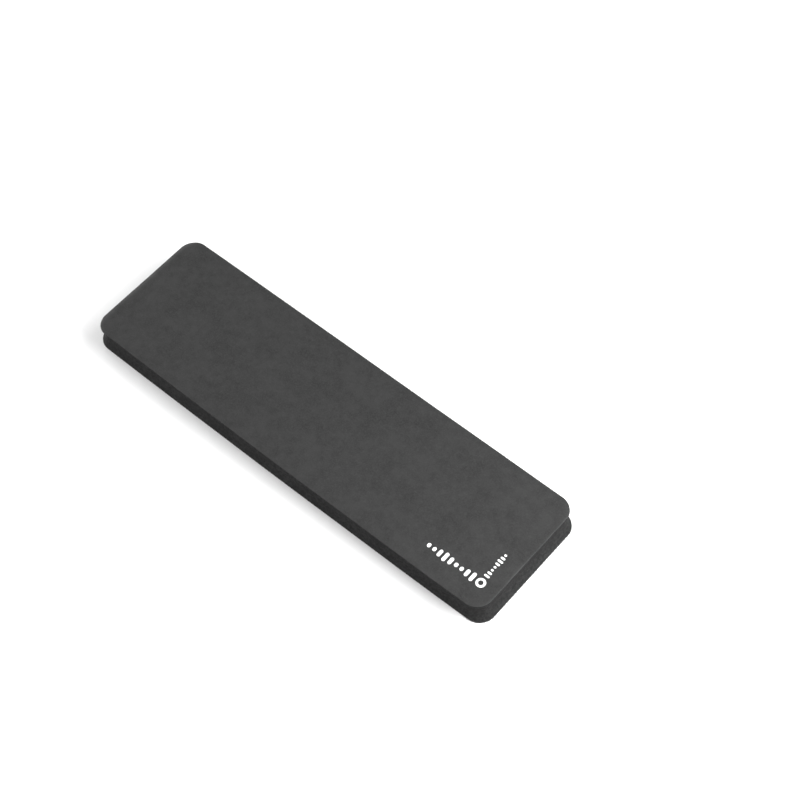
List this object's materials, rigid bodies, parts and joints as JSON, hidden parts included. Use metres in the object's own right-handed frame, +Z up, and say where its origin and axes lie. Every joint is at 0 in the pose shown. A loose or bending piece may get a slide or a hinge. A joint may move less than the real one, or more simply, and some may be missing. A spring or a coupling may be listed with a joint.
{
  "type": "keyboard wrist rest",
  "caption": "Long low foam pad with a smooth top skin and a grippy textured sole that supports the wrists in front of a keyboard.",
  "frame": {"origin": "centre of the underside, on the surface that the pad lies on", "axes": "+X along the pad's length to the user's right, +Y from the user towards the keyboard, +Z up"},
  "size_m": [0.359, 0.1028, 0.0201],
  "materials": {
    "sole_rubber": "matt black neoprene with a fine raised grip texture",
    "adhesive": "thin hot-melt film, hidden inside",
    "core_foam": "closed-cell neoprene sponge, die-cut edge with fine cells",
    "skin_rubber": "smooth moulded neoprene skin, matt, faintly mottled",
    "print_ink": "matt pale screen-printing ink"
  },
  "bodies": {
    "root": {"textured_sole": "sole_rubber", "lower_bond_film": "adhesive", "foam_core": "core_foam", "upper_bond_film": "adhesive", "smooth_skin": "skin_rubber", "printed_mark": "print_ink"}
  },
  "joints": []
}
